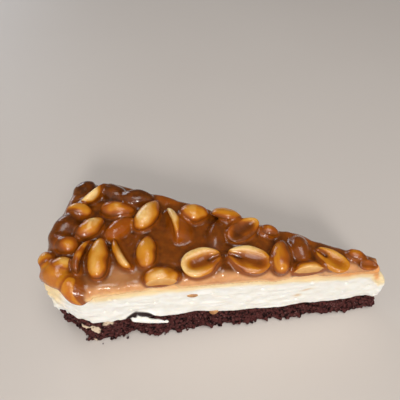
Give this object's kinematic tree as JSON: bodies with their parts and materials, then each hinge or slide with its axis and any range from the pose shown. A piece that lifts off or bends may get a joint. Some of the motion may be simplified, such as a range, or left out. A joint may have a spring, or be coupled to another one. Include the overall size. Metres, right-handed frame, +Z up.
{
  "type": "cheesecake slice",
  "caption": "Wedge of cheesecake with a dark chocolate crumb crust, a thick white cream filling and a glossy caramel topping set with roasted peanuts",
  "frame": {"origin": "on the crust's flat underside, halfway along the slice and on its middle line", "axes": "+X runs along the slice from the rim to the tip, +Z is up, -Y is the side of the front cut face"},
  "size_m": [0.1299, 0.0584, 0.042],
  "materials": {
    "crumb_crust": "rough, dry dark crumb",
    "cream": "matte, finely pitted",
    "caramel": "wet gloss",
    "peanut": "glazed"
  },
  "bodies": {
    "root": {"crust": "crumb_crust", "cream": "cream", "caramel": "caramel", "peanut_half_back_corner": "peanut", "peanut_whole_rim_back": "peanut", "peanut_whole_back_left": "peanut", "peanut_whole_rim_middle": "peanut", "peanut_whole_rim_front": "peanut", "peanut_broken_rim": "peanut", "peanut_whole_corner": "peanut", "peanut_half_left_edge": "peanut", "peanut_whole_left_front": "peanut", "peanut_half_left_ridge": "peanut", "peanut_whole_middle_left": "peanut", "peanut_whole_bright": "peanut", "peanut_half_middle_ridge": "peanut", "peanut_whole_back_middle": "peanut", "peanut_half_back_edge": "peanut", "peanut_half_back_open": "peanut", "peanut_half_front_open": "peanut", "peanut_half_front_notched": "peanut", "peanut_whole_orange": "peanut", "peanut_broken_back": "peanut", "peanut_half_near_tip": "peanut", "peanut_whole_tip_back": "peanut", "peanut_half_tip": "peanut", "peanut_cut_front_right": "peanut", "peanut_cut_front_middle": "peanut", "peanut_corner_overhang": "peanut", "peanut_cut_back_left": "peanut", "peanut_cut_back_right": "peanut"}
  },
  "joints": []
}
